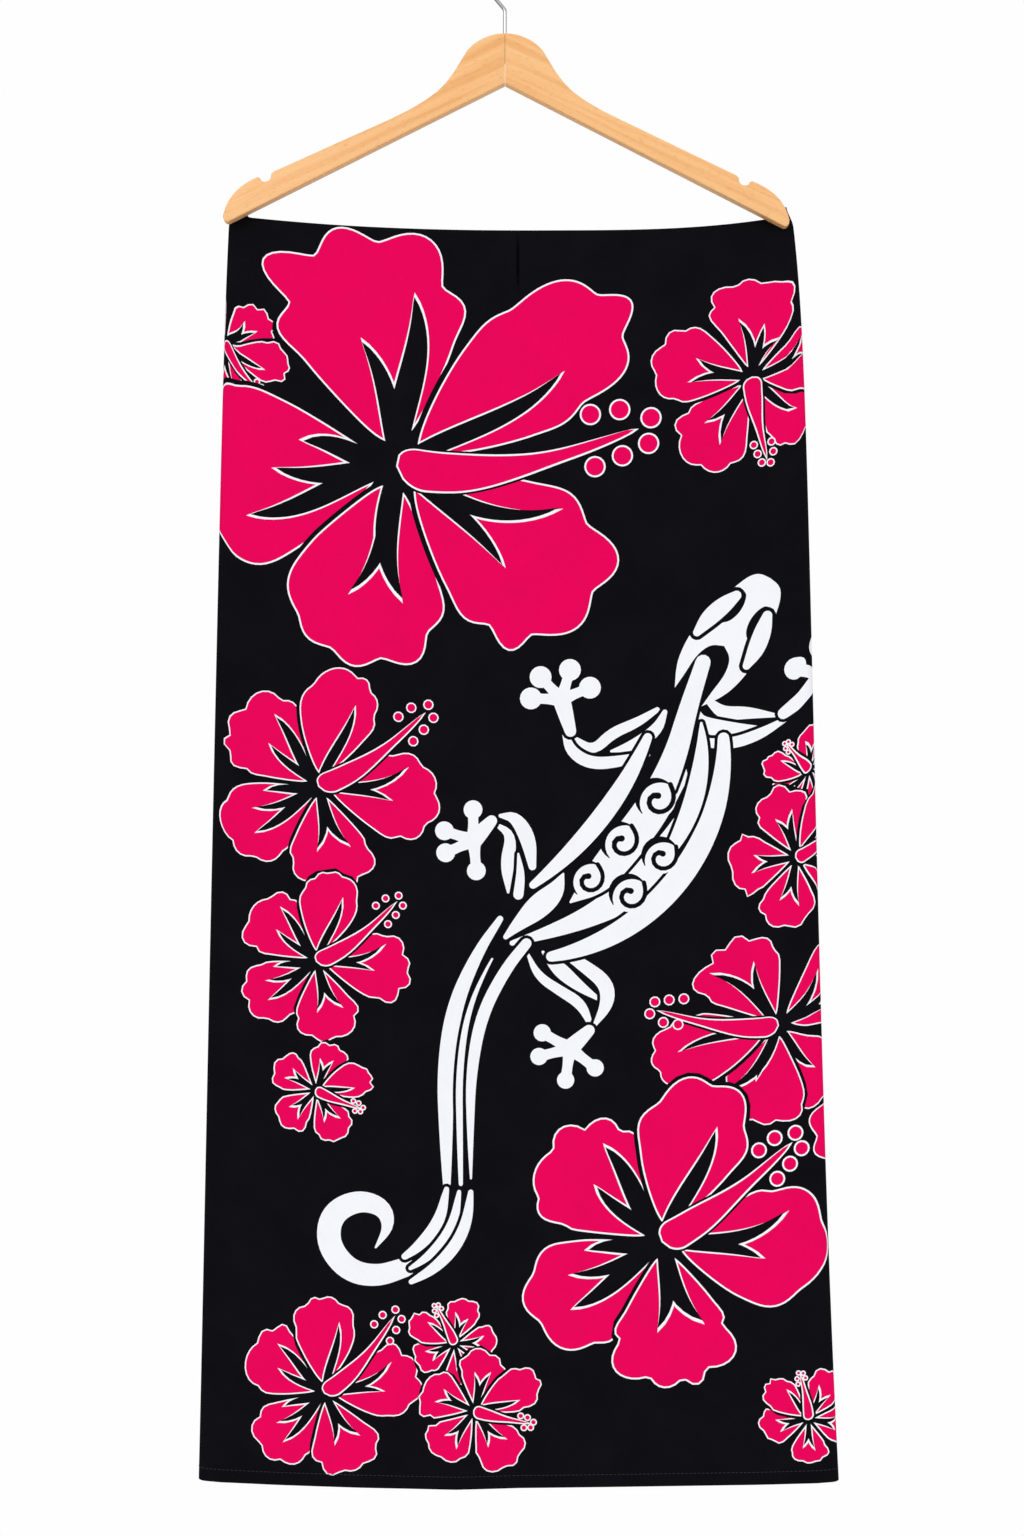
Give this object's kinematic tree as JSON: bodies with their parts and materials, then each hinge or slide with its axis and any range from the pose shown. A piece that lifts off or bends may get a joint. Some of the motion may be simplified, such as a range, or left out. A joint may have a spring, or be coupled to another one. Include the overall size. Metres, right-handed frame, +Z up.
{
  "type": "sarong on a hanger",
  "caption": "Printed cotton tube sarong hung flat by its top corners on a flat wooden clothes hanger with a wire hook, hem and waist open.",
  "frame": {"origin": "The inner top of the hook, where it hangs on a rail.", "axes": "+Z up, with the cloth hanging down -Z. The front of the cloth and of the hanger faces -Y, and the arms reach out along X."},
  "size_m": [0.5034, 0.031, 1.2058],
  "materials": {
    "printed_cotton": "matte woven cotton, black with a bright pink and white print",
    "beech": "satin clear lacquer",
    "hook_wire": "bright plated",
    "tack_steel": "satin"
  },
  "bodies": {
    "root": {"front_panel": "printed_cotton", "back_panel": "printed_cotton", "front_hem": "printed_cotton", "back_hem": "printed_cotton", "arm_left": "beech", "arm_right": "beech", "hook": "hook_wire", "tack_left": "tack_steel", "tack_right": "tack_steel"}
  },
  "joints": []
}
